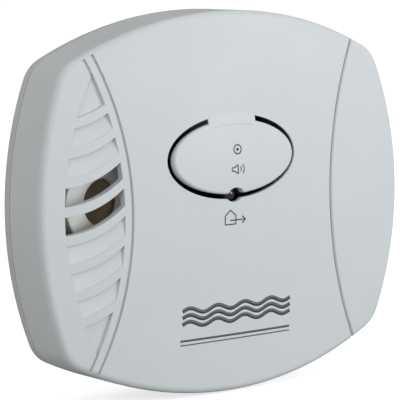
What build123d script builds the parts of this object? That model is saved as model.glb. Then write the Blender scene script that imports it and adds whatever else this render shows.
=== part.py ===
"""Wall-hung carbon monoxide alarm, powered by two AA cells, in millimetres.

The wall is the plane Y = 0 and the case stands out from it towards -Y. X runs to the right as seen from
the front, and Z runs up. The origin is the middle of the case's back face. "Height" below means the
distance out from the wall, so a sketch at height h lies on Plane.XZ.offset(h), whose own x and y are the
part's X and Z.
"""

import os
from math import cos, pi, sin, sqrt

from build123d import *

# ---- Case --------------------------------------------------------------------------------------------
WIDTH = 114.0
HEIGHT = 97.0
CORNER_R = 9.2
CORNER_X = 42.2  # centre of the corner radius
CORNER_Z = 29.5
STEP = 6.0  # depth of the narrower part that stands on the wall
FRONT = 25.7  # height of the middle of the face
DOME_R = 430.0  # the face is part of a sphere
EDGE_R = 1.8  # round between the face and the side wall
WALL = 2.0
RIM = 1.8  # thickness of the rear housing's rim
SEAM = 0.18  # gap between parts of the case
SEAM_CHAMFER = 0.35
BACK_CHAMFER, RIM_CHAMFER = 0.45, 0.25  # on the two edges that meet at the rim
STEP_INSET = 5.0
FLOOR = 1.8
STEP_WALL = 1.6
LIP = 1.4  # lip on the rear housing that locates the covers
LIP_HEIGHT = 2.4
BOSS_R, BOSS_BORE_TOP = 3.2, 17.0  # bosses inside the front cover that take the case screws
SLEEVE_R = 4.3  # sleeves in the rear housing that the case screws pass through
HEAD_RECESS_R, HEAD_RECESS, SCREW_CLEARANCE_R = 3.0, 3.5, 1.6
POST_R = 2.6  # posts under the circuit board

# ---- Decorative arcs, louvres and battery cover joint ------------------------------------------------
ARC_R = 86.0
ARC_X = 117.6  # the arcs' centres are at plus and minus this
BAND = 2.2  # raised band between the louvres and the groove
GROOVE = 0.7
GROOVE_DEPTH = 0.5
LENS_R = 70.0  # outer edge of the louvred area
LENS_X = 19.6
LOUVRE_PITCH = 7.0
LOUVRE_RIB = 2.5
LOUVRE_R = 27.0  # each louvre rises to the right on this radius
LOUVRE_X = -51.0
LOUVRE_Z = 0.4
LOUVRE_DEPTH = 0.75  # of the two tips
LOUVRE_SLOPE, LOUVRE_SILL = 0.22, 0.12  # a closed bay starts one sill deep at its lower rib and slopes in
LOUVRE_TIP_Z = 32.5
FIRST_RIB, LAST_RIB = -4, 3
OPEN_BAYS = (0, 1)  # these two bays go right through the cover
LOUVRE_LENGTH = 21.0
TOOL_BELOW, TOOL_LENGTH = 7.5, 12.0  # engraving tools reach this far below the face, over this length

# ---- Test button -------------------------------------------------------------------------------------
BUTTON_X, BUTTON_Z = -1.2, 11.9
OPENING_A, OPENING_B = 20.1, 10.65
BUTTON_A, BUTTON_B = 18.8, 9.35
BUTTON_CROWN_ACROSS, BUTTON_CROWN_UP = 600.0, 104.0  # the crown's radii along X and along Z
BUTTON_CROWN_Z = 5.0
BUTTON_TOP = 26.7
BUTTON_EDGE_R = 0.6
FLARE_TOP = 24.6  # below this height the opening and the window widen, and the button narrows
FLARE, FLARE_DEPTH = 2.4, 3.6
HINGE_WIDTH = 14.0
HINGE_GAP = 0.12
HINGE_THICKNESS = 0.8
HINGE_OVERLAP = 0.5  # how far the hinge web runs into the case
LED_Z = 2.3
LED_WINDOW_A, LED_WINDOW_B = 2.5, 1.85

# ---- Circuit board -----------------------------------------------------------------------------------
BOARD_LOW, BOARD_HIGH = 8.0, 9.6
BOARD_X0, BOARD_X1, BOARD_Z = -47.0, 15.0, 29.5
BOARD_SCREWS = [(-43.0, 25.8), (-43.0, -25.8), (11.0, 25.8), (11.0, -25.8)]
SCREW_R = 1.2
HORN_X, HORN_Z, HORN_R = -35.6, 2.4, 11.4
HORN_TOP = 17.8
HORN_HOLE_R = 6.1
HORN_BORE = 4.3  # depth of the outlet down to the sounder disc
HORN_SEAT = 13.0
PLATE_R, PLATE = 10.2, 0.25
SENSOR_X, SENSOR_Z, SENSOR_R = -13.0, -15.5, 10.0
SENSOR_TOP = 18.6
FILTER_R = 4.4
SWITCH_Z = 9.5
SWITCH_TOP = 14.6
STEM_R = 1.7
PLUNGER_R = 1.74
SWITCH_HALF, SWITCH_PLATE_HALF = 3.1, 2.9
SWITCH_BODY_TOP = 13.1
PLUNGER_LENGTH, PLUNGER_BORE = 3.1, 3.8
LED_SEAT, LED_TOP, LED_R = 17.8, 24.6, 2.4
LED_FLANGE_R, LED_FLANGE = 2.8, 0.9
LEAD_PITCH, LEAD_SIDE, LEAD_SLOT = 2.54, 0.5, 0.6
CHIP_X, CHIP_Z, CHIP_A, CHIP_B = -14.0, 21.0, 6.4, 3.7
CHIP_LOW, CHIP_HIGH, CHIP_DOT_R, CHIP_DOT_INSET = 0.2, 2.5, 0.6, 1.5
CRYSTAL_Z, CRYSTAL_LENGTH, CRYSTAL_WIDTH, CRYSTAL_FLANGE, CRYSTAL_HEIGHT = 13.0, 10.2, 3.6, 0.5, 2.8
COIL_CENTRE, COIL_R, COIL_CORE_R, COIL_FLANGE, COIL_HEIGHT = (7.5, -17.0), 4.5, 2.5, 1.0, 6.5
WINDING_R, WINDING_GAP = 4.1, 0.05
CAPACITOR_CENTRES, CAPACITOR_R, CAPACITOR_HEIGHT = [(8.5, -6.0), (8.5, 2.5)], 3.15, 8.0
TRANSISTOR_CENTRES, TRANSISTOR_R, TRANSISTOR_STAND = [(-28.0, 19.0), (-28.0, 25.0)], 2.4, 1.5
TRANSISTOR_HEIGHT, TRANSISTOR_FLAT = 4.6, 1.4
RESISTOR_CENTRE, RESISTOR_LENGTH, RESISTOR_WIDTH, RESISTOR_HEIGHT = (-34.5, -18.0), 3.2, 1.6, 0.6
PIN_PITCH, PINS = 1.27, 10
TOUCH = 0.02  # gap left between parts that bear on each other
CASE_SCREWS = [(-33.0, 33.2), (-33.0, -33.2), (12.0, 36.5), (12.0, -36.5)]

# ---- Battery bay -------------------------------------------------------------------------------------
CELL_R = 7.1
CELL_X = (27.3, 41.7)
CELL_HEIGHT = 12.4  # height of the cells' axes
CELL_BODY = 49.0
CELL_NUB_R, CELL_NUB = 2.7, 1.2
BAY_X0, BAY_X1 = 19.9, 49.0
BAY_Z = 28.6
BAY_WALL = 1.5
BAY_TOP = 17.0
CONTACT = 0.4
CELL_END = BAY_Z - CONTACT - 0.8  # where each cell's nub ends
SPRING_WIRE = 0.4
SPRING_R, SPRING_TAPER, SPRING_TURNS, SPRING_STEPS = 4.2, 1.6, 3, 12
LEAD_R = 0.6
RAIL_X0 = 44.6
RAIL, RAIL_LOW, RAIL_HIGH = 1.2, 14.6, 16.2
HOOK, HOOK_LOW, HOOK_GAP, HOOK_TOE = 1.2, 12.8, 0.3, 1.6
HOOK_X0 = RAIL_X0 + 0.4
HOLD_RIB_X0, HOLD_RIB_Z, HOLD_RIB = 38.0, 9.0, 1.2  # ribs under the battery cover, over the outer cell
CRADLE_X1, CRADLE_Z, CRADLE, CRADLE_HIGH = 46.0, 20.0, 2.0, 8.6
CRADLE_GAP = 0.15
TONGUE, TONGUE_GAP, TONGUE_WIDTH = 1.0, 0.45, 40.0
TONGUE_REACH, TONGUE_ROOT = 3.2, 2.5
GRIP_ROWS, GRIP_FIRST, GRIP_PITCH, GRIP_RIDGE, GRIP_PROUD, GRIP_WIDTH = 5, 11.0, 1.8, 0.8, 0.35, 22.0

# ---- Back face ---------------------------------------------------------------------------------------
KEYHOLE_X, KEYHOLE_Z = 30.0, 8.0
KEYHOLE_R, KEYHOLE_SLOT_R, KEYHOLE_RISE = 4.0, 2.1, 7.0
LABEL_WIDTH, LABEL_HEIGHT, LABEL_Z = 44.0, 26.0, -17.0
LABEL_DEPTH, LABEL_CORNER_R, LABEL_GAP = 0.3, 2.0, 0.3

os.makedirs("parts", exist_ok=True)


def finish(name, part):
    """Labels a finished piece and writes its STEP file."""
    part.label = name
    export_step(part, f"parts/{name}.step")


def face_height(x, z):
    """Height of the case's outer face at (x, z)."""
    return FRONT - DOME_R + sqrt(DOME_R**2 - x**2 - z**2)


def case_outline(inset):
    """The case's outline from the front: four long arcs with round corners, moved in by inset."""
    with BuildSketch() as outline:
        with BuildLine():
            ThreePointArc((CORNER_X, -CORNER_Z), (WIDTH / 2 - CORNER_R, 0), (CORNER_X, CORNER_Z))
            ThreePointArc((CORNER_X, CORNER_Z), (0, HEIGHT / 2 - CORNER_R), (-CORNER_X, CORNER_Z))
            ThreePointArc((-CORNER_X, CORNER_Z), (CORNER_R - WIDTH / 2, 0), (-CORNER_X, -CORNER_Z))
            ThreePointArc((-CORNER_X, -CORNER_Z), (0, CORNER_R - HEIGHT / 2), (CORNER_X, -CORNER_Z))
        make_face()
        offset(amount=CORNER_R - inset, kind=Kind.ARC)
    return outline.sketch


def pillow(inset, back, edge_radius):
    """A solid with the case's domed shape, moved in by inset, from height back to the face."""
    outline = case_outline(inset)
    with BuildPart() as solid:
        with BuildSketch(Plane.XZ.offset(back)):
            add(outline)
        extrude(amount=FRONT - back)
        with Locations((0, DOME_R - FRONT, 0)):
            Sphere(DOME_R - inset, mode=Mode.INTERSECT)
        fillet(solid.faces().filter_by(GeomType.SPHERE).edges(), edge_radius)
    return solid.part


def shell():
    """The whole front shell, before the battery cover is parted from it."""
    outer = pillow(0, STEP + RIM + SEAM, EDGE_R)
    inner = pillow(WALL, STEP, EDGE_R - WALL / 2)
    with BuildPart() as hollow:
        add(outer)
        chamfer(hollow.faces().sort_by(Axis.Y)[-1].edges(), BACK_CHAMFER)
        add(inner, mode=Mode.SUBTRACT)
    return hollow.part


def outer_face(builder):
    """The domed outer face of a shell that is being built."""
    return builder.faces().filter_by(GeomType.SPHERE).sort_by(Axis.Y)[0]


def rod(points, radius, low, high, mode=Mode.ADD):
    """Round posts, or holes, from one height to another."""
    with BuildSketch(Plane.XZ.offset(low)) as profile:
        with Locations(*points):
            Circle(radius)
    extrude(profile.sketch, amount=high - low, mode=mode)


def block(x0, x1, z0, z1, low, high, mode=Mode.ADD):
    """A rectangular block from one height to another."""
    with BuildSketch(Plane.XZ.offset(low)) as profile:
        with Locations(((x0 + x1) / 2, (z0 + z1) / 2)):
            Rectangle(x1 - x0, z1 - z0)
    extrude(profile.sketch, amount=high - low, mode=mode)


def louvre_edge(z):
    """The arc of a louvre's edge, where z is its height at the arc's lowest point."""
    end = LOUVRE_LENGTH
    rise = LOUVRE_R - sqrt(LOUVRE_R**2 - end**2)
    half = LOUVRE_R - sqrt(LOUVRE_R**2 - (end / 2) ** 2)
    return ThreePointArc((LOUVRE_X, z), (LOUVRE_X + end / 2, z + half), (LOUVRE_X + end, z + rise))


def louvre_bays(bays):
    """The bays between louvre ribs. Bay n lies under rib n, and the top bay runs out to the tip."""
    with BuildSketch() as area:
        for bay in bays:
            low = LOUVRE_Z + (bay - 1) * LOUVRE_PITCH + LOUVRE_RIB
            high = LOUVRE_Z + bay * LOUVRE_PITCH
            if bay == FIRST_RIB:
                low = -HEIGHT / 2
            if bay > LAST_RIB:
                high = HEIGHT / 2
            with BuildLine():
                lower = louvre_edge(low)
                upper = louvre_edge(high)
                Line(lower @ 0, upper @ 0)
                Line(lower @ 1, upper @ 1)
            make_face()
        with Locations((-ARC_X, 0)):
            Circle(ARC_R - BAND, mode=Mode.INTERSECT)
        with Locations((LENS_X, 0)):
            Circle(LENS_R, mode=Mode.INTERSECT)
    return area.sketch


def engraving(sketch, depth, edge_radius):
    """A cutting tool that engraves a sketch into the case's face to a constant depth."""
    core = pillow(depth, STEP, edge_radius)
    with BuildPart() as tool:
        with BuildSketch(Plane.XZ.offset(FRONT - TOOL_BELOW)):
            add(sketch)
        extrude(amount=TOOL_LENGTH)
        add(core, mode=Mode.SUBTRACT)
    return tool.part


def bay_cutter(bay):
    """The space over a closed bay, whose floor slopes in from its lower rib to its upper one.

    The floor is part of a cone round the louvre arcs' centre, so it follows the ribs. The cone's axis stands
    square to the face at the middle of the bay.
    """
    area = louvre_bays([bay])
    middle = area.face().center()
    x, z = middle.X, middle.Y
    to_dome_centre = face_height(x, z) + DOME_R - FRONT
    outward = Vector(x, -to_dome_centre, z).normalized()
    centre_z = LOUVRE_Z + (bay - 1) * LOUVRE_PITCH + LOUVRE_RIB + LOUVRE_R
    drop = (x * (LOUVRE_X - x) + z * (centre_z - z)) / to_dome_centre
    on_face = Vector(LOUVRE_X, drop - face_height(x, z), centre_z)
    apex = on_face - outward * (LOUVRE_R * LOUVRE_SLOPE + LOUVRE_SILL)
    length = (LOUVRE_R + LOUVRE_PITCH) * LOUVRE_SLOPE + WALL
    with BuildPart() as cutter:
        with BuildSketch(Plane.XZ.offset(STEP)):
            add(area)
        extrude(amount=FRONT)
        with Locations(Plane(origin=apex, z_dir=outward)):
            align = (Align.CENTER, Align.CENTER, Align.MIN)
            Cone(0, length / LOUVRE_SLOPE, length, align=align, mode=Mode.INTERSECT)
    return cutter.part


def face_slab(sketch, low, high):
    """The part of a sketch's prism that lies between two depths under the case's face."""
    with BuildPart() as slab:
        with BuildSketch(Plane.XZ.offset(STEP)):
            add(sketch)
        extrude(amount=FRONT)
        with Locations((0, DOME_R - FRONT, 0)):
            Sphere(DOME_R - low, mode=Mode.INTERSECT)
            Sphere(DOME_R - high, mode=Mode.SUBTRACT)
    return slab.part


case_shell = shell()


# ==== Front cover =====================================================================================
def ring(radius):
    """A thin ring, one groove wide, about the centre of the left-hand arcs."""
    with BuildSketch() as band:
        with Locations((-ARC_X, 0)):
            Circle(radius + GROOVE / 2)
            Circle(radius - GROOVE / 2, mode=Mode.SUBTRACT)
    return band.sketch


def arc_groove():
    """The fine groove beside the louvres, and its short twins that close the band at both tips."""
    with BuildSketch() as line:
        add(ring(ARC_R - BAND - GROOVE / 2))
        Rectangle(4 * WIDTH, 2 * LOUVRE_TIP_Z, mode=Mode.SUBTRACT)
        add(ring(ARC_R))
        add(case_outline(EDGE_R / 2), mode=Mode.INTERSECT)
    return line.sketch


def hinge_web():
    """The thin strip that the button hangs on, along the top of its opening."""
    with BuildSketch() as strip:
        with Locations((BUTTON_X, BUTTON_Z)):
            Ellipse(OPENING_A + HINGE_OVERLAP, OPENING_B + HINGE_OVERLAP)
            Ellipse(BUTTON_A + HINGE_GAP, BUTTON_B + HINGE_GAP, mode=Mode.SUBTRACT)
        with Locations((BUTTON_X, BUTTON_Z + OPENING_B)):
            Rectangle(HINGE_WIDTH, OPENING_B, mode=Mode.INTERSECT)
    return strip.sketch


def oval_plug(centre, axes, flare):
    """An oval plug through the face. It keeps its size above FLARE_TOP, and grows by flare on the way in."""
    with BuildPart() as plug:
        with BuildSketch(Plane.XZ.offset(FLARE_TOP)) as mouth:
            with Locations(centre):
                Ellipse(axes[0], axes[1])
        with BuildSketch(Plane.XZ.offset(FLARE_TOP - FLARE_DEPTH)):
            with Locations(centre):
                Ellipse(axes[0] + flare, axes[1] + flare)
        loft()
        extrude(mouth.sketch, amount=FLARE_DEPTH)
    return plug.part


closed_bays = [bay_cutter(bay) for bay in range(FIRST_RIB + 1, LAST_RIB + 1) if bay not in OPEN_BAYS]
tips_tool = engraving(louvre_bays([FIRST_RIB, LAST_RIB + 1]), LOUVRE_DEPTH, EDGE_R - LOUVRE_DEPTH)
groove_tool = engraving(arc_groove(), GROOVE_DEPTH, EDGE_R - GROOVE_DEPTH)
web = face_slab(hinge_web(), 0, HINGE_THICKNESS)
open_louvres = louvre_bays(OPEN_BAYS)
opening_plug = oval_plug((BUTTON_X, BUTTON_Z), (OPENING_A, OPENING_B), FLARE)
window_plug = oval_plug((BUTTON_X, LED_Z), (LED_WINDOW_A, LED_WINDOW_B), FLARE)
inner_volume = pillow(WALL / 2, STEP, EDGE_R - WALL / 2)
with BuildPart() as bosses:
    rod(CASE_SCREWS, BOSS_R, STEP + RIM + SEAM, FRONT)
    add(inner_volume, mode=Mode.INTERSECT)

with BuildPart() as front_cover:
    add(case_shell)
    rod([(ARC_X, 0)], ARC_R + SEAM, 0, FRONT, mode=Mode.SUBTRACT)
    chamfer(outer_face(front_cover).edges().sort_by(Axis.X)[-1], SEAM_CHAMFER)
    add(tips_tool, mode=Mode.SUBTRACT)
    for cutter in closed_bays:
        add(cutter, mode=Mode.SUBTRACT)
    add(groove_tool, mode=Mode.SUBTRACT)
    with BuildSketch(Plane.XZ):
        add(open_louvres)
    extrude(amount=FRONT, mode=Mode.SUBTRACT)
    add(opening_plug, mode=Mode.SUBTRACT)
    add(web)
    add(window_plug, mode=Mode.SUBTRACT)
    add(bosses.part)
    rod(CASE_SCREWS, SCREW_R, 0, BOSS_BORE_TOP, mode=Mode.SUBTRACT)

finish("front_cover", front_cover.part)


# ==== Battery cover ===================================================================================
def tongue_outline():
    """The lip that slides in under the front cover along the joint."""
    with BuildSketch() as lip:
        with Locations((ARC_X, 0)):
            Circle(ARC_R + TONGUE_REACH)
            Circle(ARC_R - TONGUE_ROOT, mode=Mode.SUBTRACT)
        with Locations((WIDTH / 4, 0)):
            Rectangle(WIDTH / 2, TONGUE_WIDTH, mode=Mode.INTERSECT)
    return lip.sketch


def grip_ridges():
    """Finger ridges on the battery cover's side wall."""
    with BuildPart() as ridges:
        for row in range(GRIP_ROWS):
            with BuildSketch(Plane.XZ.offset(GRIP_FIRST + GRIP_PITCH * row)):
                add(case_outline(-GRIP_PROUD))
            extrude(amount=GRIP_RIDGE)
        with Locations((WIDTH / 2, -FRONT / 2, 0)):
            Box(4 * WALL, 2 * FRONT, GRIP_WIDTH, mode=Mode.INTERSECT)
    return ridges.part


tongue = face_slab(tongue_outline(), WALL + TONGUE_GAP, WALL + TONGUE_GAP + TONGUE)
root_slab = face_slab(tongue_outline(), WALL - SEAM_CHAMFER, WALL + TONGUE_GAP)
with BuildPart() as tongue_root:
    add(root_slab)
    rod([(ARC_X, 0)], ARC_R - SEAM, 0, FRONT, mode=Mode.INTERSECT)
hook_volume = pillow(WALL / 2, STEP, EDGE_R - WALL / 2)
ridges = grip_ridges()
with BuildPart() as hooks:
    for side in (1, -1):
        clear_z = BAY_Z + BAY_WALL + RAIL + HOOK_GAP
        z0, z1 = sorted((side * clear_z, side * (clear_z + HOOK)))
        block(HOOK_X0, BAY_X1, z0, z1, HOOK_LOW, FRONT)
        z0, z1 = sorted((side * (clear_z - RAIL), side * clear_z))
        block(HOOK_X0, BAY_X1, z0, z1, HOOK_LOW, HOOK_LOW + HOOK_TOE)
        rib_z = side * HOLD_RIB_Z
        z0, z1 = rib_z - HOLD_RIB / 2, rib_z + HOLD_RIB / 2
        block(HOLD_RIB_X0, BAY_X1, z0, z1, CELL_HEIGHT + CELL_R + HOOK_GAP, FRONT)
    add(hook_volume, mode=Mode.INTERSECT)

with BuildPart() as battery_cover:
    add(case_shell)
    rod([(ARC_X, 0)], ARC_R - SEAM, 0, FRONT, mode=Mode.INTERSECT)
    chamfer(outer_face(battery_cover).edges().sort_by(Axis.X)[0], SEAM_CHAMFER)
    add(tongue_root.part)
    add(tongue)
    add(ridges)
    add(hooks.part)

finish("battery_cover", battery_cover.part)


# ==== Test button =====================================================================================
button_plug = oval_plug((BUTTON_X, BUTTON_Z), (BUTTON_A, BUTTON_B), -FLARE)
with BuildPart() as test_button:
    add(button_plug)
    with Locations((BUTTON_X, BUTTON_CROWN_ACROSS - BUTTON_TOP, BUTTON_CROWN_Z)):
        Torus(BUTTON_CROWN_ACROSS - BUTTON_CROWN_UP, BUTTON_CROWN_UP, mode=Mode.INTERSECT)
    with Locations((0, DOME_R - FRONT, 0)):
        Sphere(DOME_R - WALL, mode=Mode.SUBTRACT)
    fillet(test_button.faces().filter_by(GeomType.TORUS).edges(), BUTTON_EDGE_R)
    add(window_plug, mode=Mode.SUBTRACT)
    # The stem that reaches in to the switch, with a round tip.
    rod([(BUTTON_X, SWITCH_Z)], STEM_R, SWITCH_TOP + TOUCH + STEM_R, FRONT - WALL)
    with Locations((BUTTON_X, -(SWITCH_TOP + TOUCH + STEM_R), SWITCH_Z)):
        Sphere(STEM_R)

finish("test_button", test_button.part)

# ==== Rear housing ====================================================================================
with BuildPart() as rear_housing:
    with BuildSketch(Plane.XZ):
        add(case_outline(STEP_INSET))
    extrude(amount=STEP + RIM)
    fillet(rear_housing.faces().sort_by(Axis.Y)[-1].edges(), STEP / 6)
    with BuildSketch(Plane.XZ.offset(STEP)):
        add(case_outline(0))
    extrude(amount=RIM)
    chamfer(rear_housing.faces().sort_by(Axis.Y)[0].edges(), RIM_CHAMFER)
    with BuildSketch(Plane.XZ.offset(STEP)):
        add(case_outline(WALL + SEAM))
        add(case_outline(WALL + SEAM + LIP), mode=Mode.SUBTRACT)
    extrude(amount=RIM + LIP_HEIGHT)
    with BuildSketch(Plane.XZ.offset(FLOOR)):
        add(case_outline(STEP_INSET + STEP_WALL))
    extrude(amount=FRONT, mode=Mode.SUBTRACT)
    # Posts under the board, and the sleeves that the case screws pass through.
    rod(BOARD_SCREWS, POST_R, FLOOR / 2, BOARD_LOW)
    rod(BOARD_SCREWS, SCREW_R, FLOOR * 1.2, BOARD_LOW, mode=Mode.SUBTRACT)
    rod(CASE_SCREWS, SLEEVE_R, FLOOR / 2, STEP + RIM)
    rod(CASE_SCREWS, HEAD_RECESS_R, 0, HEAD_RECESS, mode=Mode.SUBTRACT)
    rod(CASE_SCREWS, SCREW_CLEARANCE_R, 0, STEP + RIM, mode=Mode.SUBTRACT)
    # Battery bay: a side wall, two end walls, slide rails and the cradles under the cells.
    block(BAY_X0 - BAY_WALL, BAY_X0, -BAY_Z - BAY_WALL, BAY_Z + BAY_WALL, FLOOR / 2, BAY_TOP)
    for side in (1, -1):
        z0, z1 = sorted((side * BAY_Z, side * (BAY_Z + BAY_WALL)))
        block(BAY_X0 - BAY_WALL, BAY_X1, z0, z1, STEP, BAY_TOP)
        block(BAY_X0 - BAY_WALL, CRADLE_X1, z0, z1, FLOOR / 2, STEP + RIM)
        z0, z1 = sorted((side * BAY_Z, side * (BAY_Z + BAY_WALL + RAIL)))
        block(RAIL_X0, BAY_X1, z0, z1, RAIL_LOW, RAIL_HIGH)
        cradle_z = side * CRADLE_Z
        z0, z1 = cradle_z - CRADLE / 2, cradle_z + CRADLE / 2
        block(BAY_X0 - BAY_WALL, CRADLE_X1, z0, z1, FLOOR / 2, CRADLE_HIGH)
    for x in CELL_X:
        with BuildSketch(Plane.XY.offset(-BAY_Z)):
            with Locations((x, -CELL_HEIGHT)):
                Circle(CELL_R + CRADLE_GAP)
        extrude(amount=2 * BAY_Z, mode=Mode.SUBTRACT)
    # Keyholes, and the shallow seat for the rating label.
    for side in (1, -1):
        rod([(side * KEYHOLE_X, KEYHOLE_Z)], KEYHOLE_R, 0, FLOOR, mode=Mode.SUBTRACT)
        rod([(side * KEYHOLE_X, KEYHOLE_Z + KEYHOLE_RISE)], KEYHOLE_SLOT_R, 0, FLOOR, mode=Mode.SUBTRACT)
        x0 = side * KEYHOLE_X - KEYHOLE_SLOT_R
        block(x0, x0 + 2 * KEYHOLE_SLOT_R, KEYHOLE_Z, KEYHOLE_Z + KEYHOLE_RISE, 0, FLOOR, mode=Mode.SUBTRACT)
    with BuildSketch(Plane.XZ):
        with Locations((0, LABEL_Z)):
            RectangleRounded(LABEL_WIDTH, LABEL_HEIGHT, LABEL_CORNER_R)
            offset(amount=LABEL_GAP)
    extrude(amount=LABEL_DEPTH, mode=Mode.SUBTRACT)

finish("rear_housing", rear_housing.part)


# ==== Circuit board and what stands on it =============================================================
with BuildPart() as circuit_board:
    with BuildSketch(Plane.XZ.offset(BOARD_LOW)):
        with Locations(((BOARD_X0 + BOARD_X1) / 2, 0)):
            RectangleRounded(BOARD_X1 - BOARD_X0, 2 * BOARD_Z, 3)
        with Locations(*BOARD_SCREWS):
            Circle(SCREW_R + 0.3, mode=Mode.SUBTRACT)
    extrude(amount=BOARD_HIGH - BOARD_LOW)

finish("circuit_board", circuit_board.part)

horn_centre = [(HORN_X, HORN_Z)]
with BuildPart() as horn_base:
    rod(horn_centre, HORN_R, BOARD_HIGH, HORN_SEAT)
    rod(horn_centre, PLATE_R - 1.4, BOARD_HIGH + 0.8, HORN_SEAT, mode=Mode.SUBTRACT)
    rod(horn_centre, PLATE_R + 0.1, HORN_SEAT - PLATE, HORN_SEAT, mode=Mode.SUBTRACT)

finish("horn_base", horn_base.part)

with BuildPart() as sounder_plate:
    rod(horn_centre, PLATE_R, HORN_SEAT - PLATE, HORN_SEAT)

finish("sounder_plate", sounder_plate.part)

with BuildPart() as sounder_ceramic:
    rod(horn_centre, 7.0, HORN_SEAT - PLATE - 0.2, HORN_SEAT - PLATE)

finish("sounder_ceramic", sounder_ceramic.part)

with BuildPart() as horn_cap:
    rod(horn_centre, HORN_R, HORN_SEAT, HORN_TOP)
    fillet(horn_cap.faces().sort_by(Axis.Y)[0].edges(), 0.6)
    rod(horn_centre, PLATE_R - 0.8, HORN_SEAT, HORN_TOP - 1.4, mode=Mode.SUBTRACT)
    rod(horn_centre, HORN_HOLE_R + 1.1, HORN_TOP - HORN_BORE + 0.3, HORN_TOP - 1)
    rod(horn_centre, HORN_HOLE_R, HORN_SEAT, HORN_TOP, mode=Mode.SUBTRACT)

finish("horn_cap", horn_cap.part)

sensor_centre = [(SENSOR_X, SENSOR_Z)]
with BuildPart() as co_sensor:
    rod(sensor_centre, SENSOR_R, BOARD_HIGH + 0.6, SENSOR_TOP - 2)
    fillet(co_sensor.faces().sort_by(Axis.Y)[-1].edges(), 0.5)
    with BuildSketch(Plane.XZ.offset(BOARD_HIGH)):
        with Locations((SENSOR_X, SENSOR_Z)):
            with PolarLocations(6.5, 3):
                Circle(0.5)
    extrude(amount=1.0)

finish("co_sensor", co_sensor.part)

with BuildPart() as sensor_cap:
    rod(sensor_centre, SENSOR_R, SENSOR_TOP - 2, SENSOR_TOP)
    fillet(sensor_cap.faces().sort_by(Axis.Y)[0].edges(), 0.7)
    rod(sensor_centre, FILTER_R + 0.1, SENSOR_TOP - 2, SENSOR_TOP, mode=Mode.SUBTRACT)

finish("sensor_cap", sensor_cap.part)

with BuildPart() as sensor_filter:
    rod(sensor_centre, FILTER_R, SENSOR_TOP - 2, SENSOR_TOP - 0.3)

finish("sensor_filter", sensor_filter.part)

def square(half, low, high):
    """A square block centred on the switch."""
    block(BUTTON_X - half, BUTTON_X + half, SWITCH_Z - half, SWITCH_Z + half, low, high)


switch_centre = [(BUTTON_X, SWITCH_Z)]
with BuildPart() as switch_body:
    square(SWITCH_HALF, BOARD_HIGH, SWITCH_BODY_TOP)
    fillet(switch_body.edges().filter_by(Axis.Y), 0.4)
    rod(switch_centre, PLUNGER_R + 0.06, SWITCH_TOP - PLUNGER_BORE, SWITCH_BODY_TOP, mode=Mode.SUBTRACT)

finish("switch_body", switch_body.part)

with BuildPart() as switch_plate:
    square(SWITCH_PLATE_HALF, SWITCH_BODY_TOP, SWITCH_BODY_TOP + 0.2)
    rod(switch_centre, PLUNGER_R + 0.1, SWITCH_BODY_TOP, SWITCH_TOP, mode=Mode.SUBTRACT)

finish("switch_plate", switch_plate.part)

with BuildPart() as switch_plunger:
    rod(switch_centre, PLUNGER_R, SWITCH_TOP - PLUNGER_LENGTH, SWITCH_TOP)
    chamfer(switch_plunger.faces().sort_by(Axis.Y)[0].edges(), 0.25)

finish("switch_plunger", switch_plunger.part)

led_centre = [(BUTTON_X, LED_Z)]
with BuildPart() as indicator_led:
    rod(led_centre, LED_FLANGE_R, LED_SEAT, LED_SEAT + LED_FLANGE)
    rod(led_centre, LED_R, LED_SEAT + LED_FLANGE, LED_TOP - LED_R)
    with Locations((BUTTON_X, -(LED_TOP - LED_R), LED_Z)):
        Sphere(LED_R)

finish("indicator_led", indicator_led.part)


def lead_pair(side):
    """Two square legs under the indicator, from the board to its seat."""
    with BuildSketch(Plane.XZ.offset(BOARD_HIGH)) as legs:
        with Locations((BUTTON_X, LED_Z)):
            with GridLocations(LEAD_PITCH, 1, 2, 1):
                Rectangle(side, side)
    with BuildPart() as pair:
        extrude(legs.sketch, amount=LED_SEAT - BOARD_HIGH)
    return pair.part


lead_slots = lead_pair(LEAD_SLOT)
with BuildPart() as led_spacer:
    rod(led_centre, LED_FLANGE_R, BOARD_HIGH, LED_SEAT)
    add(lead_slots, mode=Mode.SUBTRACT)

finish("led_spacer", led_spacer.part)
finish("led_leads", lead_pair(LEAD_SIDE))

with BuildPart() as microcontroller:
    chip_top = BOARD_HIGH + CHIP_HIGH
    block(CHIP_X - CHIP_A, CHIP_X + CHIP_A, CHIP_Z - CHIP_B, CHIP_Z + CHIP_B, BOARD_HIGH + CHIP_LOW, chip_top)
    chamfer(microcontroller.faces().sort_by(Axis.Y)[0].edges(), 0.3)
    dot = (CHIP_X - CHIP_A + CHIP_DOT_INSET, CHIP_Z - CHIP_B + CHIP_DOT_INSET)
    rod([dot], CHIP_DOT_R, chip_top - 0.2, chip_top, mode=Mode.SUBTRACT)

finish("microcontroller", microcontroller.part)

with BuildPart() as microcontroller_pins:
    for side in (1, -1):
        for foot, rise in ((1.4, 0.25), (0.3, 1.4)):
            with BuildSketch(Plane.XZ.offset(BOARD_HIGH)):
                with Locations((CHIP_X, CHIP_Z + side * (CHIP_B + foot / 2))):
                    with GridLocations(PIN_PITCH, 1, PINS, 1):
                        Rectangle(0.42, foot)
            extrude(amount=rise)

finish("microcontroller_pins", microcontroller_pins.part)

with BuildPart() as crystal:
    with BuildSketch(Plane.XZ.offset(BOARD_HIGH)):
        with Locations((CHIP_X, CRYSTAL_Z)):
            SlotOverall(CRYSTAL_LENGTH + 0.8, CRYSTAL_WIDTH + 0.8)
    extrude(amount=CRYSTAL_FLANGE)
    with BuildSketch(Plane.XZ.offset(BOARD_HIGH + CRYSTAL_FLANGE)):
        with Locations((CHIP_X, CRYSTAL_Z)):
            SlotOverall(CRYSTAL_LENGTH, CRYSTAL_WIDTH)
    extrude(amount=CRYSTAL_HEIGHT)
    fillet(crystal.faces().sort_by(Axis.Y)[0].edges(), 0.4)

finish("crystal", crystal.part)

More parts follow.
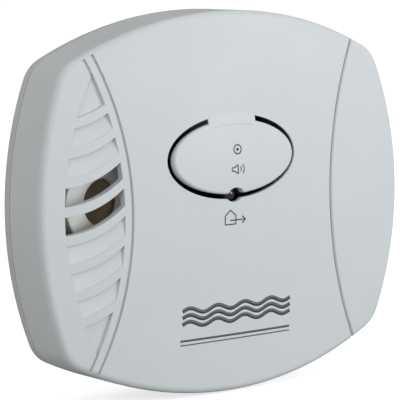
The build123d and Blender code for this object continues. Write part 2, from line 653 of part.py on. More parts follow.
coil_top = BOARD_HIGH + COIL_HEIGHT
with BuildPart() as horn_coil:
    rod([COIL_CENTRE], COIL_R, BOARD_HIGH, BOARD_HIGH + COIL_FLANGE)
    rod([COIL_CENTRE], COIL_CORE_R, BOARD_HIGH + COIL_FLANGE, coil_top - COIL_FLANGE)
    rod([COIL_CENTRE], COIL_R, coil_top - COIL_FLANGE, coil_top)

finish("horn_coil", horn_coil.part)

with BuildPart() as coil_winding:
    winding_low = BOARD_HIGH + COIL_FLANGE + WINDING_GAP
    winding_high = coil_top - COIL_FLANGE - WINDING_GAP
    rod([COIL_CENTRE], WINDING_R, winding_low, winding_high)
    rod([COIL_CENTRE], COIL_CORE_R + WINDING_GAP, winding_low, winding_high, mode=Mode.SUBTRACT)

finish("coil_winding", coil_winding.part)

with BuildPart() as capacitors:
    rod(CAPACITOR_CENTRES, CAPACITOR_R, BOARD_HIGH, BOARD_HIGH + CAPACITOR_HEIGHT)
    fillet(capacitors.faces().filter_by(Plane.XZ).edges(), 0.4)

finish("capacitors", capacitors.part)

with BuildPart() as transistors:
    with BuildSketch(Plane.XZ.offset(BOARD_HIGH + TRANSISTOR_STAND)):
        with Locations(*TRANSISTOR_CENTRES):
            Circle(TRANSISTOR_R)
            with Locations((-TRANSISTOR_FLAT - TRANSISTOR_R, 0)):
                Rectangle(2 * TRANSISTOR_R, 2 * TRANSISTOR_R, mode=Mode.SUBTRACT)
    extrude(amount=TRANSISTOR_HEIGHT)
    with BuildSketch(Plane.XZ.offset(BOARD_HIGH)):
        with Locations(*TRANSISTOR_CENTRES):
            with GridLocations(1, PIN_PITCH, 1, 3):
                Rectangle(0.4, 0.5)
    extrude(amount=TRANSISTOR_STAND)

finish("transistors", transistors.part)

with BuildPart() as chip_resistors:
    with BuildSketch(Plane.XZ.offset(BOARD_HIGH)):
        with Locations(RESISTOR_CENTRE):
            with GridLocations(RESISTOR_LENGTH + 2.0, RESISTOR_WIDTH + 2.6, 3, 3):
                Rectangle(RESISTOR_LENGTH, RESISTOR_WIDTH)
    extrude(amount=RESISTOR_HEIGHT)

finish("chip_resistors", chip_resistors.part)


# ==== Screws ==========================================================================================
def screw(centre, seat, tip, head_r, head):
    """A pan-head screw standing along the height axis. A negative head points to the wall."""
    x, z = centre
    low, high = sorted((seat, seat + head))
    rod([centre], head_r, low, high)
    low, high = sorted((seat, tip))
    rod([centre], SCREW_R - 0.05, low, high)
    face_at = seat + head
    with BuildSketch(Plane.XZ.offset(face_at)) as recess:
        with Locations(centre):
            Rectangle(2.6, 0.6)
            Rectangle(0.6, 2.6)
    extrude(recess.sketch, amount=-0.8 if head > 0 else 0.8, mode=Mode.SUBTRACT)


with BuildPart() as board_screws:
    for place in BOARD_SCREWS:
        screw(place, BOARD_HIGH, BOARD_HIGH - 6, 2.2, 1.4)

finish("board_screws", board_screws.part)

with BuildPart() as case_screws:
    for place in CASE_SCREWS:
        screw(place, 3.5, 16.0, 2.7, -2.0)

finish("case_screws", case_screws.part)


# ==== Cells, contacts and leads =======================================================================
def cell(x, up):
    """An AA cell lying along Z at x, with its raised end up (1) or down (-1)."""
    shoulder = up * (CELL_END - CELL_NUB)
    with BuildPart() as body:
        with BuildSketch(Plane.XY.offset(shoulder)):
            with Locations((x, -CELL_HEIGHT)):
                Circle(CELL_R)
        extrude(amount=-up * CELL_BODY)
        fillet(body.edges().filter_by(GeomType.CIRCLE), 0.5)
        with BuildSketch(Plane.XY.offset(shoulder)):
            with Locations((x, -CELL_HEIGHT)):
                Circle(CELL_NUB_R)
        extrude(amount=up * CELL_NUB)
    return body.part


def end_plate(x0, x1, side):
    """A flat contact against the end wall on the given side, with a tab above the wall."""
    z0, z1 = sorted((side * BAY_Z, side * (BAY_Z - CONTACT)))
    block(x0, x1, z0, z1, CELL_HEIGHT - 4.3, BAY_TOP - 0.6)
    middle = (x0 + x1) / 2
    block(middle - 1.5, middle + 1.5, z0, z1, BAY_TOP - 0.6, BAY_TOP + 0.8)


def dimple(x, side):
    """The raised button in a contact plate that meets a cell's nub."""
    with BuildSketch(Plane.XY.offset(side * (BAY_Z - CONTACT))) as spot:
        with Locations((x, -CELL_HEIGHT)):
            Circle(2.2)
    depth = BAY_Z - CONTACT - CELL_END - TOUCH
    extrude(spot.sketch, amount=-side * depth, taper=20)


def spring(x, side):
    """A cone spring between an end plate and the flat end of a cell, wide at the plate."""
    start = BAY_Z - CONTACT - SPRING_WIRE - TOUCH
    end = CELL_BODY + CELL_NUB - CELL_END + SPRING_WIRE + TOUCH
    points = []
    for step in range(SPRING_TURNS * SPRING_STEPS + 1):
        along = step / (SPRING_TURNS * SPRING_STEPS)
        angle = 2 * pi * step / SPRING_STEPS
        radius = SPRING_R - SPRING_TAPER * along
        z = start + (end - start) * along
        points.append((x + radius * cos(angle), -CELL_HEIGHT + radius * sin(angle), side * z))
    with BuildPart() as coil:
        with BuildLine():
            path = Spline(*points)
        with BuildSketch(Plane(origin=path @ 0, z_dir=path % 0)):
            Circle(SPRING_WIRE)
        sweep()
    return coil.part


def lead(points):
    """An insulated lead along a smooth curve through (x, height, z) points."""
    with BuildPart() as wire:
        with BuildLine():
            path = Spline(*[(x, -height, z) for x, height, z in points])
        with BuildSketch(Plane(origin=path @ 0, z_dir=path % 0)):
            Circle(LEAD_R)
        sweep()
    return wire.part


finish("battery_cell_inner", cell(CELL_X[0], 1))
finish("battery_cell_outer", cell(CELL_X[1], -1))

with BuildPart() as positive_contact:
    end_plate(CELL_X[0] - 5, CELL_X[0] + 5, 1)
    dimple(CELL_X[0], 1)

finish("positive_contact", positive_contact.part)

with BuildPart() as negative_contact:
    end_plate(CELL_X[1] - 5, CELL_X[1] + 5, 1)

finish("negative_contact", negative_contact.part)

with BuildPart() as cell_link:
    end_plate(CELL_X[0] - 5, CELL_X[1] + 5, -1)
    dimple(CELL_X[1], -1)

finish("cell_link", cell_link.part)
finish("inner_cell_spring", spring(CELL_X[0], -1))
finish("outer_cell_spring", spring(CELL_X[1], 1))

TAB = BAY_TOP + 0.8 + LEAD_R + TOUCH
RED_PATH = [
    (13.0, 10.2, 18.0),
    (13.5, 14.5, 19.0),
    (17.0, 18.9, 22.5),
    (22.5, 19.0, 27.0),
    (CELL_X[0], TAB, 28.4),
]
BLACK_PATH = [
    (13.0, 10.2, 12.5),
    (14.0, 16.0, 13.5),
    (17.5, 20.6, 20.0),
    (22.0, 20.8, 27.5),
    (30.0, 19.8, 31.2),
    (37.0, 19.0, 30.8),
    (CELL_X[1], TAB, 28.4),
]
finish("positive_lead", lead(RED_PATH))
finish("negative_lead", lead(BLACK_PATH))

# ==== Rear label ======================================================================================
with BuildPart() as rear_label:
    with BuildSketch(Plane.XZ.offset(TOUCH)):
        with Locations((0, LABEL_Z)):
            RectangleRounded(LABEL_WIDTH, LABEL_HEIGHT, LABEL_CORNER_R)
    extrude(amount=LABEL_DEPTH - TOUCH)

finish("rear_label", rear_label.part)
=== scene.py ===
"""Looks for the wall-hung carbon monoxide alarm: materials, printed marks, small details, light and camera.

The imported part's frame is in metres: the wall is the plane Y = 0, the face looks towards -Y, X runs to the
right as seen from the front and Z runs up. The marks, the tracks and the hinge are laid out in millimetres.
"""

from math import cos, pi, radians, sin

import bmesh
import bpy
from mathutils import Matrix, Vector
from mathutils.bvhtree import BVHTree


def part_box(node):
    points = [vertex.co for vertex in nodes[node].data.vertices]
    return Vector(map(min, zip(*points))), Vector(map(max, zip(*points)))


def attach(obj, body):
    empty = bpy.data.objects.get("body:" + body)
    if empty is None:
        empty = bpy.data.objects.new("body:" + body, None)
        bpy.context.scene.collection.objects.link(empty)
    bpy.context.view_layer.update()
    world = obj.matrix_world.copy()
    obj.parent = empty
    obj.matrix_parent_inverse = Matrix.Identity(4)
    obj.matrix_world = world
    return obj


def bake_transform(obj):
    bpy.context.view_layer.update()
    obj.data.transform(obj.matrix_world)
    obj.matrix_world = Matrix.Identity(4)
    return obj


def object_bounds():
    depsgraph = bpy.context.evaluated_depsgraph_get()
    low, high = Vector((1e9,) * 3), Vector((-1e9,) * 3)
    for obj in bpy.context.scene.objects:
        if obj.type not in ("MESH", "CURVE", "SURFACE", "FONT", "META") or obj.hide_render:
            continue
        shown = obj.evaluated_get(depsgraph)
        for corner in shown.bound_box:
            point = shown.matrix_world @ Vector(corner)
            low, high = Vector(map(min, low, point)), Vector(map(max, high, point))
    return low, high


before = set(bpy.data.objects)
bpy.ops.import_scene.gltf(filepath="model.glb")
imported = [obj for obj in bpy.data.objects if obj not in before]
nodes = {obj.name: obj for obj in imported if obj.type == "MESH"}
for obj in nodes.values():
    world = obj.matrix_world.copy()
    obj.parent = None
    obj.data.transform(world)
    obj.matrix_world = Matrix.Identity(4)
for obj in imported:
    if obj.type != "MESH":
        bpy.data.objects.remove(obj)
cad_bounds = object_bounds()
MM = 0.001

# How every surface is weathered, and how painted shade darkens its corners and recesses.
BROAD_GRAIN = 38.0                        # patches of uneven colour and gloss per metre
TONE_LOW, TONE_HIGH = 0.35, 0.65          # span of the broad noise that changes the colour
GLOSS_LOW, GLOSS_HIGH = 0.3, 0.7          # span of the broad noise that changes the gloss
EDGE_FLAT, EDGE_WORN = 0.99, 0.80         # cosine between the true and the rounded normal
# Painted shade: the colour darkens where a point sees little of its surroundings, as in corners and
# recesses; the second tint below is that painted shade.
CORNER_OPEN, CORNER_DEEP = 0.75, 0.15     # how much of its surroundings a point sees
CORNER_REACH = 2.5 * MM
WORN_TINT, SHADE_TINT = 1.25, 0.55
BEVEL_SAMPLES, CORNER_SAMPLES = 4, 6


# ---- Node graph helpers ----------------------------------------------------------------------------------
def feed(tree, socket, value):
    """Links a socket to another node's output, or sets its value."""
    if isinstance(value, bpy.types.NodeSocket):
        tree.links.new(value, socket)
    else:
        socket.default_value = value


def node(tree, kind, **inputs):
    """Adds a shader node and sets its inputs by name. An input's name has _ for each space."""
    made = tree.nodes.new("ShaderNode" + kind)
    for name, value in inputs.items():
        feed(tree, made.inputs[name.replace("_", " ")], value)
    return made


def arithmetic(tree, operation, first, second=0.0):
    """Adds a maths node and returns its output."""
    made = tree.nodes.new("ShaderNodeMath")
    made.operation = operation
    feed(tree, made.inputs[0], first)
    feed(tree, made.inputs[1], second)
    return made.outputs[0]


def mix(tree, factor, first, second):
    """Mixes two colours and returns the result."""
    made = tree.nodes.new("ShaderNodeMix")
    made.data_type = "RGBA"
    color_a, color_b, color_result = made.inputs[6], made.inputs[7], made.outputs[2]
    feed(tree, made.inputs["Factor"], factor)
    feed(tree, color_a, first)
    feed(tree, color_b, second)
    return color_result


def remap(tree, value, low, high, to_low=0.0, to_high=1.0):
    """Maps a value from one range to another, clamped."""
    made = node(tree, "MapRange", Value=value, From_Min=low, From_Max=high, To_Min=to_low, To_Max=to_high)
    return made.outputs[0]


def shade(color, factor):
    """A colour made lighter or darker."""
    return tuple(min(1.0, part * factor) for part in color[:3]) + (1.0,)


def from_srgb(*levels):
    """A linear colour from sRGB levels of 0 to 255."""
    linear = [((level / 255 + 0.055) / 1.055) ** 2.4 for level in levels]
    return tuple(linear) + (1.0,)


def surface(name, color, roughness=0.45, metallic=0.0, grain=2500.0, depth=0.02, variation=0.03,
            edge_radius=0.2, wear=0.15, corner_shade=0.25, rough_spread=0.08, coat=0.0):
    """A moulded or machined finish: fine grain, uneven colour and gloss, worn edges, and painted shade that
    darkens corners and recesses.

    grain is in features per metre, depth and edge_radius are in millimetres.
    """
    material = bpy.data.materials.new(name)
    material.use_nodes = True
    tree = material.node_tree
    shader = tree.nodes["Principled BSDF"]
    place = node(tree, "TexCoord").outputs["Object"]
    fine = node(tree, "TexNoise", Vector=place, Scale=grain, Detail=3.0, Roughness=0.6)
    broad = node(tree, "TexNoise", Vector=place, Scale=BROAD_GRAIN, Detail=3.0, Roughness=0.5)
    bevel = node(tree, "Bevel", Radius=edge_radius * MM)
    bevel.samples = BEVEL_SAMPLES

    flat = node(tree, "NewGeometry").outputs["Normal"]
    turn = tree.nodes.new("ShaderNodeVectorMath")
    turn.operation = "DOT_PRODUCT"
    feed(tree, turn.inputs[0], bevel.outputs[0])
    feed(tree, turn.inputs[1], flat)
    edge = remap(tree, turn.outputs["Value"], EDGE_FLAT, EDGE_WORN)
    # Painted shade: ambient occlusion finds the corners and recesses whose colour is darkened.
    corner = node(tree, "AmbientOcclusion", Distance=CORNER_REACH)
    corner.samples = CORNER_SAMPLES
    shaded_corners = remap(tree, corner.outputs["AO"], CORNER_OPEN, CORNER_DEEP)

    patches = remap(tree, broad.outputs[0], TONE_LOW, TONE_HIGH)
    tone = mix(tree, patches, shade(color, 1 - variation), shade(color, 1 + variation))
    tone = mix(tree, arithmetic(tree, "MULTIPLY", edge, wear), tone, shade(color, WORN_TINT))
    # Painted shade mixed into the colour where the occlusion is deep.
    tone = mix(tree, arithmetic(tree, "MULTIPLY", shaded_corners, corner_shade), tone, shade(color, SHADE_TINT))
    smoothest, roughest = roughness - rough_spread, roughness + rough_spread
    gloss = remap(tree, broad.outputs[0], GLOSS_LOW, GLOSS_HIGH, smoothest, roughest)
    bump = node(tree, "Bump", Height=fine.outputs[0], Distance=depth * MM, Strength=1.0,
                Normal=bevel.outputs[0])
    feed(tree, shader.inputs["Base Color"], tone)
    feed(tree, shader.inputs["Roughness"], gloss)
    feed(tree, shader.inputs["Normal"], bump.outputs[0])
    feed(tree, shader.inputs["Metallic"], metallic)
    feed(tree, shader.inputs["Coat Weight"], coat)
    return material


# ---- Materials -------------------------------------------------------------------------------------------
case_plastic = surface("case_plastic", from_srgb(221, 226, 230), roughness=0.5, grain=2600, depth=0.012,
                       variation=0.012, corner_shade=0.08)
rear_plastic = surface("rear_plastic", from_srgb(208, 210, 208), roughness=0.55, grain=2000, corner_shade=0.15)
horn_plastic = surface("horn_plastic", from_srgb(250, 249, 245), roughness=0.5, grain=1500, depth=0.015,
                       corner_shade=0.1)
black_plastic = surface("black_plastic", (0.018, 0.018, 0.02, 1), roughness=0.5, variation=0.2)
label_film = surface("label_film", from_srgb(232, 232, 229), roughness=0.4, grain=1200, depth=0.006)
ink = surface("ink", from_srgb(136, 139, 144), roughness=0.6, grain=3000, depth=0.004, variation=0.08,
              corner_shade=0.0)

board_green = surface("board_green", (0.014, 0.085, 0.035, 1), roughness=0.35, grain=900,
                      variation=0.15, coat=0.3)
track = surface("track", (0.03, 0.22, 0.09, 1), roughness=0.35, grain=900, variation=0.1, coat=0.3)
solder = surface("solder", (0.60, 0.61, 0.62, 1), roughness=0.28, metallic=1.0, grain=1400, variation=0.1)
capacitor_sleeve = surface("capacitor_sleeve", (0.012, 0.014, 0.035, 1), roughness=0.25, variation=0.1)
led_lens = surface("led_lens", (0.035, 0.020, 0.016, 1), roughness=0.25, grain=700, depth=0.0, coat=0.6)
red_insulation = surface("red_insulation", (0.26, 0.012, 0.010, 1), roughness=0.4, grain=900)
black_insulation = surface("black_insulation", (0.012, 0.012, 0.013, 1), roughness=0.4, grain=900)

steel = surface("steel", (0.55, 0.56, 0.57, 1), roughness=0.3, metallic=1.0, grain=900, variation=0.06)
spring_steel = surface("spring_steel", (0.62, 0.62, 0.60, 1), roughness=0.22, metallic=1.0, grain=1200)
brass = surface("brass", (0.50, 0.41, 0.30, 1), roughness=0.42, metallic=0.6, grain=1100, variation=0.1)
copper_wire = surface("copper_wire", (0.45, 0.16, 0.06, 1), roughness=0.3, metallic=1.0, grain=900)
ceramic = surface("ceramic", (0.62, 0.62, 0.60, 1), roughness=0.4, metallic=0.6, grain=1500)
ferrite = surface("ferrite", (0.03, 0.03, 0.032, 1), roughness=0.6, grain=1800, variation=0.2)
felt = surface("felt", (0.80, 0.80, 0.77, 1), roughness=0.95, grain=3500, depth=0.15, variation=0.06)

SLEEVE_DARK, SLEEVE_COPPER, BARE_METAL = (0.03, 0.035, 0.045, 1), (0.52, 0.27, 0.10, 1), (0.6, 0.6, 0.6, 1)
# Places along a cell, as shares of its length from the flat end.
COPPER_START = 0.70
SLEEVE_MIDDLE, SLEEVE_HALF = 0.488, 0.474


def cell_finish(name, flat_end, nub_end):
    """A cell's printed sleeve in two colours, with bare metal at both ends, whose heights are in metres."""
    material = surface(name, SLEEVE_DARK, roughness=0.28, variation=0.1, coat=0.4)
    tree = material.node_tree
    shader = tree.nodes["Principled BSDF"]
    dark = shader.inputs["Base Color"].links[0].from_socket
    place = node(tree, "TexCoord").outputs["Object"]
    along = remap(tree, node(tree, "SeparateXYZ", Vector=place).outputs["Z"], flat_end, nub_end)
    in_copper = arithmetic(tree, "GREATER_THAN", along, COPPER_START)
    from_middle = arithmetic(tree, "ABSOLUTE", arithmetic(tree, "SUBTRACT", along, SLEEVE_MIDDLE))
    bare = arithmetic(tree, "GREATER_THAN", from_middle, SLEEVE_HALF)
    printed = mix(tree, in_copper, dark, SLEEVE_COPPER)
    feed(tree, shader.inputs["Base Color"], mix(tree, bare, printed, BARE_METAL))
    feed(tree, shader.inputs["Metallic"], bare)
    return material


inner_low, inner_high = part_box("battery_cell_inner")
outer_low, outer_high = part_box("battery_cell_outer")
inner_sleeve = cell_finish("inner_sleeve", inner_low.z, inner_high.z)
outer_sleeve = cell_finish("outer_sleeve", outer_high.z, outer_low.z)

FINISH = {
    case_plastic: ("front_cover", "battery_cover", "test_button"),
    rear_plastic: ("rear_housing",),
    horn_plastic: ("horn_base", "horn_cap"),
    board_green: ("circuit_board",),
    black_plastic: ("co_sensor", "switch_body", "switch_plunger", "microcontroller", "transistors",
                    "chip_resistors", "led_spacer"),
    steel: ("sensor_cap", "switch_plate", "led_leads", "microcontroller_pins", "crystal", "board_screws",
            "case_screws", "positive_contact", "negative_contact", "cell_link"),
    spring_steel: ("inner_cell_spring", "outer_cell_spring"),
    brass: ("sounder_plate",),
    ceramic: ("sounder_ceramic",),
    felt: ("sensor_filter",),
    led_lens: ("indicator_led",),
    ferrite: ("horn_coil",),
    copper_wire: ("coil_winding",),
    capacitor_sleeve: ("capacitors",),
    inner_sleeve: ("battery_cell_inner",),
    outer_sleeve: ("battery_cell_outer",),
    red_insulation: ("positive_lead",),
    black_insulation: ("negative_lead",),
    label_film: ("rear_label",),
}
for material, names in FINISH.items():
    for name in names:
        mesh = nodes[name].data
        mesh.materials.clear()
        mesh.materials.append(material)


# ---- Thin details laid on the CAD surfaces, in millimetres -----------------------------------------------
FRONT, BACK = -1, 1
INK_LIFT, INK_THICKNESS = 0.03, 0.02
DOT_SIDES = 16
OUTSIDE = 0.1    # metres from the wall, clear of the part


def skin_of(name):
    """A search tree of a CAD node, for laying ink and thin details on its surface."""
    mesh = nodes[name].data
    corners = [vertex.co.copy() for vertex in mesh.vertices]
    return BVHTree.FromPolygons(corners, [list(polygon.vertices) for polygon in mesh.polygons])


def laid(skin, x, z, lift, facing=FRONT):
    """The point just off a surface at (x, z). facing is the side that the surface is seen from."""
    start = Vector((x * MM, facing * OUTSIDE, z * MM))
    hit = skin.ray_cast(start, Vector((0, -facing, 0)))[0]
    return hit + Vector((0, facing * lift * MM, 0))


def resample(points, step, closed):
    """Points every step along a polyline."""
    if closed:
        points = points + points[:1]
    dense = []
    for start, end in zip(points, points[1:]):
        start, end = Vector(start), Vector(end)
        count = max(1, int((end - start).length / step + 0.5))
        dense += [start.lerp(end, i / count) for i in range(count)]
    if not closed:
        dense.append(Vector(points[-1]))
    return dense


def ink_stroke(bm, skin, points, width, closed=False, step=0.35, facing=FRONT):
    """A ribbon along a polyline of (x, z) points."""
    dense = resample(points, step, closed)
    count = len(dense)
    rows = []
    for i, point in enumerate(dense):
        before = dense[(i - 1) % count] if closed or i else point
        after = dense[(i + 1) % count] if closed or i < count - 1 else point
        way = (after - before).normalized()
        side = Vector((-way.y, way.x)) * width / 2
        across = [laid(skin, *(point + side * k), INK_LIFT, facing) for k in (-1, 0, 1)]
        rows.append([bm.verts.new(corner) for corner in across])
    for i in range(count if closed else count - 1):
        here, following = rows[i], rows[(i + 1) % count]
        for k in (0, 1):
            bm.faces.new((here[k], following[k], following[k + 1], here[k + 1]))


def ink_dot(bm, skin, x, z, radius, lift=INK_LIFT):
    """A round dot."""
    middle = bm.verts.new(laid(skin, x, z, lift))
    rim = []
    for i in range(DOT_SIDES):
        angle = 2 * pi * i / DOT_SIDES
        rim.append(bm.verts.new(laid(skin, x + radius * cos(angle), z + radius * sin(angle), lift)))
    for here, following in zip(rim, rim[1:] + rim[:1]):
        bm.faces.new((middle, here, following))


def object_from(name, bm, material):
    """Turns a bmesh into a smooth object in the scene."""
    mesh = bpy.data.meshes.new(name)
    bm.to_mesh(mesh)
    bm.free()
    for polygon in mesh.polygons:
        polygon.use_smooth = True
    mesh.materials.append(material)
    thing = bpy.data.objects.new(name, mesh)
    bpy.context.scene.collection.objects.link(thing)
    return thing


def riding_piece(name, bm, material, body, thickness=INK_THICKNESS):
    """Turns a bmesh of thin sheets into a named piece that rides on a body."""
    bmesh.ops.recalc_face_normals(bm, faces=bm.faces)
    thing = object_from(name, bm, material)
    solid = thing.modifiers.new("thickness", "SOLIDIFY")
    solid.thickness = thickness * MM
    solid.offset = 0
    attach(thing, body)


def arc(x, z, radius, start, end, count):
    """Points on an arc, in degrees anticlockwise from +X."""
    angles = [radians(start + (end - start) * i / count) for i in range(count + 1)]
    return [(x + radius * cos(angle), z + radius * sin(angle)) for angle in angles]


def moved(points, x, z):
    """Points shifted by (x, z)."""
    return [(px + x, pz + z) for px, pz in points]


cover_skin = skin_of("front_cover")
button_skin = skin_of("test_button")
button_low, button_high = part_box("test_button")
button_x = (button_low.x + button_high.x) / 2 / MM
button_z = (button_low.z + button_high.z) / 2 / MM
BOLD_LINE, MARK_LINE, FINE_LINE, SOUND_LINE = 1.0, 0.32, 0.3, 0.28


def button_marks():
    """A press mark above a speaker mark, on the button."""
    bm = bmesh.new()
    press_x, press_z = button_x + 0.8, button_z + 1.8
    ring_radius, dot_radius = 1.15, 0.42
    ink_stroke(bm, button_skin, arc(press_x, press_z, ring_radius, 0, 345, 22), MARK_LINE, closed=True)
    ink_dot(bm, button_skin, press_x, press_z, dot_radius)
    speaker_x, speaker_z, sound_x = button_x + 0.9, button_z - 3.2, button_x + 0.7
    speaker = [(-2.1, -0.45), (-1.3, -0.45), (-0.2, -1.2), (-0.2, 1.2), (-1.3, 0.45), (-2.1, 0.45)]
    ink_stroke(bm, button_skin, moved(speaker, speaker_x, speaker_z), FINE_LINE, closed=True)
    for radius in (1.0, 1.9):
        ink_stroke(bm, button_skin, arc(sound_x, speaker_z, radius, -38, 38, 8), SOUND_LINE)
    riding_piece("button_marks", bm, ink, "test_button")


def face_marks():
    """The marks on the front cover, below the button."""
    bm = bmesh.new()
    # Way out: a house and an arrow that leaves it.
    out_x, out_z = -0.9, -3.5
    house = [(-3.2, -1.7), (-3.2, 0.5), (-1.5, 1.9), (0.2, 0.5), (0.2, -1.7)]
    shaft = [(-1.6, -0.7), (3.2, -0.7)]
    head = [(2.2, 0.2), (3.3, -0.7), (2.2, -1.6)]
    ink_stroke(bm, cover_skin, moved(house, out_x, out_z), MARK_LINE, closed=True)
    ink_stroke(bm, cover_skin, moved(shaft, out_x, out_z), MARK_LINE)
    ink_stroke(bm, cover_skin, moved(head, out_x, out_z), MARK_LINE)
    # Moving air: a band of waves.
    band_x, band_z, row_gap = 0.2, -27.7, 1.7
    wave_length, wave_height, wave_step, half_steps = 8.6, 0.65, 0.25, 69
    along = [wave_step * i for i in range(-half_steps, half_steps + 1)]
    for row in (-row_gap, 0.0, row_gap):
        wave = [(x, row + wave_height * sin(2 * pi * x / wave_length)) for x in along]
        ink_stroke(bm, cover_skin, moved(wave, band_x, band_z), BOLD_LINE)
    # A thick rule over a thin one.
    rule_z, rule_half, rule_gap = -33.6, 17.5, 1.1
    for row, width in ((0.0, 0.55), (-rule_gap, 0.3)):
        ink_stroke(bm, cover_skin, [(-rule_half, rule_z + row), (rule_half, rule_z + row)], width)
    riding_piece("face_marks", bm, ink, "case")


def label_rules():
    """The blank rating label's border, rows and middle line."""
    bm = bmesh.new()
    skin = skin_of("rear_label")
    label_low, label_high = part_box("rear_label")
    margin, row_height, row_count = 1.6, 4.6, 4
    border_line, row_line, step = 0.35, 0.2, 2.0
    right = (label_high.x - label_low.x) / 2 / MM - margin
    low, high = label_low.z / MM + margin, label_high.z / MM - margin
    border = [(-right, low), (right, low), (right, high), (-right, high)]
    ink_stroke(bm, skin, border, border_line, closed=True, step=step, facing=BACK)
    for row in range(1, row_count + 1):
        z = high - row_height * row
        ink_stroke(bm, skin, [(-right, z), (right, z)], row_line, step=step, facing=BACK)
    ink_stroke(bm, skin, [(0, low), (0, high - row_height)], row_line, step=step, facing=BACK)
    riding_piece("label_rules", bm, ink, "case")


button_marks()
face_marks()
label_rules()


# ---- Board tracks and solder -----------------------------------------------------------------------------
def middle_of(name):
    """A node's middle as (x, z) in millimetres."""
    low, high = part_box(name)
    return (low.x + high.x) / 2 / MM, (low.z + high.z) / 2 / MM


board_skin = skin_of("circuit_board")
chip_x, chip_z = middle_of("microcontroller")
sensor_x, sensor_z = middle_of("co_sensor")
horn_x, horn_z = middle_of("horn_base")
coil_x, coil_z = middle_of("horn_coil")
# Each track from the chip runs down to a soldered corner of its own height, then on towards the horn.
PIN_LANES, PIN_PITCH, FIRST_PIN, FIRST_TURN, TURN_GAP = 5, 1.27, 5.0, 8.5, 1.1
pin_corners = [(chip_x - FIRST_PIN + PIN_PITCH * lane, chip_z - FIRST_TURN - TURN_GAP * lane)
               for lane in range(PIN_LANES)]


def board_tracks():
    """Copper tracks under the board's green coat."""
    bm = bmesh.new()
    step, elbow, lane_gap = 1.0, 3.0, 1.2
    signal_width, power_width = 0.45, 0.6
    pin_feet, horn_edge = chip_z - 5.6, horn_x + 14.5
    for pin_x, turn_z in pin_corners:
        route = [(pin_x, pin_feet), (pin_x, turn_z), (horn_edge, turn_z)]
        route.append((horn_edge - elbow, turn_z - elbow))
        ink_stroke(bm, board_skin, route, signal_width, step=step)
    # From just below the horn across to the sensor.
    horn_side, turn_z, sensor_edge = horn_z - 13.5, sensor_z + 4.0, sensor_x - 11.0
    for lane in range(4):
        rail_x = sensor_x - 15.0 - lane_gap * lane
        route = [(rail_x, horn_side), (rail_x, turn_z), (rail_x + elbow, turn_z - elbow)]
        route.append((sensor_edge, turn_z - elbow))
        ink_stroke(bm, board_skin, route, signal_width, step=step)
    # Power rails beside the coil.
    rail_low, rail_high = coil_z - 5.0, coil_z + 16.0
    for lane in range(3):
        rail_x = coil_x - 6.5 - lane_gap * lane
        ink_stroke(bm, board_skin, [(rail_x, rail_low), (rail_x, rail_high)], power_width, step=step)
    riding_piece("board_tracks", bm, track, "case", thickness=0.03)


def solder_joints():
    """Solder at the horn's feet, the coil's feet and the corners of the chip's tracks."""
    bm = bmesh.new()
    foot_radius, corner_radius, lift = 0.9, 0.5, 0.06
    horn_foot, coil_foot = 12.8, 5.6
    for x, z, foot in ((horn_x, horn_z, horn_foot), (coil_x, coil_z, coil_foot)):
        ink_dot(bm, board_skin, x, z + foot, foot_radius, lift)
        ink_dot(bm, board_skin, x, z - foot, foot_radius, lift)
    for x, z in pin_corners:
        ink_dot(bm, board_skin, x, z, corner_radius, lift)
    riding_piece("solder_joints", bm, solder, "case", thickness=0.08)


board_tracks()
solder_joints()


# ---- Living hinge ----------------------------------------------------------------------------------------
def button_hinge():
    """The thin skin along the top of the button, where the real button hinges, built as a fixed sheet."""
    bm = bmesh.new()
    columns, rows_down = 36, 10
    half_width, reach, inset = 7.4, 2.1, 1.6
    lift, tuck_depth = 0.035, 0.12
    rim_a = (button_high.x - button_low.x) / 2 / MM
    rim_b = (button_high.z - button_low.z) / 2 / MM
    lines = []
    for i in range(columns + 1):
        u = 2 * i / columns - 1
        dx = half_width * u
        rise = (1 - (dx / rim_a) ** 2) ** 0.5
        outer_z = button_z + (rim_b + reach) * rise
        inner_z = outer_z - reach - inset
        top = laid(cover_skin, button_x + dx, outer_z, 0)
        foot = laid(button_skin, button_x + dx, inner_z, 0)
        line = []
        for j in range(rows_down + 1):
            v = j / rows_down
            ease = v * v * (3 - 2 * v)
            # The skin's border is tucked just under the plastic, so that it shows no edge.
            tuck = max(abs(u) ** 12, abs(2 * v - 1) ** 8)
            y = top.y + (foot.y - top.y) * ease - (lift - tuck_depth * tuck) * MM
            line.append(bm.verts.new((top.x, y, top.z + (foot.z - top.z) * v)))
        lines.append(line)
    for here, following in zip(lines, lines[1:]):
        for j in range(rows_down):
            bm.faces.new((here[j], here[j + 1], following[j + 1], following[j]))
    bmesh.ops.recalc_face_normals(bm, faces=bm.faces)
    skin = object_from("button_hinge", bm, case_plastic)
    if skin.data.polygons[0].normal.y > 0:
        skin.data.flip_normals()
    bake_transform(skin)


button_hinge()


# ---- Floor, light and camera, in metres ------------------------------------------------------------------
def studio_white():
    """A matte floor that looks white to the camera and bounces only a little light onto the part."""
    bounced_tone, seen_glow = (0.45, 0.45, 0.45, 1), 0.7
    material = surface("floor", (0.85, 0.85, 0.85, 1), roughness=0.9, grain=60, depth=0.0, corner_shade=0, wear=0)
    tree = material.node_tree
    seen = node(tree, "LightPath").outputs["Is Camera Ray"]
    shader = tree.nodes["Principled BSDF"]
    seen_tone = shader.inputs["Base Color"].links[0].from_socket
    feed(tree, shader.inputs["Base Color"], mix(tree, seen, bounced_tone, seen_tone))
    feed(tree, shader.inputs["Emission Color"], (1, 1, 1, 1))
    feed(tree, shader.inputs["Emission Strength"], arithmetic(tree, "MULTIPLY", seen, seen_glow))
    return material


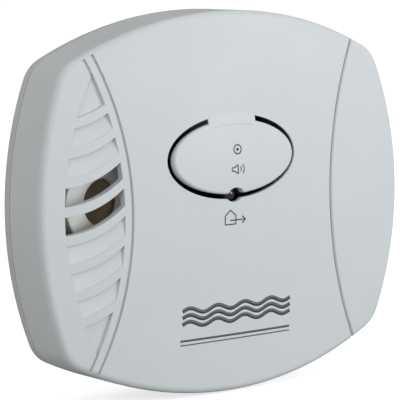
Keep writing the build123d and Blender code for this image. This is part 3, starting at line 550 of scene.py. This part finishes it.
def sweep_floor():
    """A floor just under the part that curves up into a backdrop far behind it."""
    bm = bmesh.new()
    low = cad_bounds[0][2] - 0.0005
    front, half_width = -3.0, 4.0
    radius, reach, height = 1.0, 1.6, 3.0
    bend = [radians(angle) for angle in range(0, 91, 6)]
    profile = [(front, low)]
    profile += [(reach + radius * sin(angle), low + radius * (1 - cos(angle))) for angle in bend]
    profile.append((reach + radius, low + height))
    rows = [[bm.verts.new((x, y, z)) for x in (-half_width, half_width)] for y, z in profile]
    for here, following in zip(rows, rows[1:]):
        bm.faces.new((here[0], here[1], following[1], following[0]))
    object_from("floor", bm, studio_white())


def area_light(name, place, size, energy, color):
    """A soft square light aimed at the part."""
    data = bpy.data.lights.new(name, "AREA")
    data.shape = "SQUARE"
    data.size = size
    data.energy = energy
    data.color = color
    light = bpy.data.objects.new(name, data)
    light.location = place
    light.rotation_euler = (-Vector(place)).to_track_quat("-Z", "Y").to_euler()
    bpy.context.scene.collection.objects.link(light)


def even_world():
    """A warm white surround that fills the shadows."""
    world = bpy.data.worlds.new("studio")
    world.use_nodes = True
    background = world.node_tree.nodes["Background"]
    background.inputs["Color"].default_value = (1.0, 0.99, 0.965, 1)
    background.inputs["Strength"].default_value = 0.54
    bpy.context.scene.world = world


def photo_camera():
    """A long lens at the front left, a little above the part and rolled slightly, as in the photo."""
    azimuth, elevation, roll = radians(-36.68), radians(6.755), radians(0.9)
    distance, rim_depth = 0.600, 0.006
    data = bpy.data.cameras.new("camera")
    data.sensor_width = 36.0
    data.lens = 208.4
    data.shift_x = 0.0219
    data.shift_y = -0.0088
    data.clip_start = 0.01
    camera = bpy.data.objects.new("camera", data)
    bpy.context.scene.collection.objects.link(camera)
    out = Vector((sin(azimuth) * cos(elevation), -cos(azimuth) * cos(elevation), sin(elevation)))
    aimed = (-out).to_track_quat("-Z", "Y").to_matrix().to_4x4() @ Matrix.Rotation(-roll, 4, "Z")
    camera.matrix_world = Matrix.Translation(Vector((0, -rim_depth, 0)) + distance * out) @ aimed
    bpy.context.scene.camera = camera


sweep_floor()
area_light("key", (0.68, -0.93, 0.25), 0.5, 5.6, (0.94, 0.98, 1.0))
area_light("fill", (-0.9, -0.5, 0.36), 0.8, 1.6, (1.0, 0.98, 0.92))
even_world()
photo_camera()
bpy.context.scene.view_settings.view_transform = "Standard"
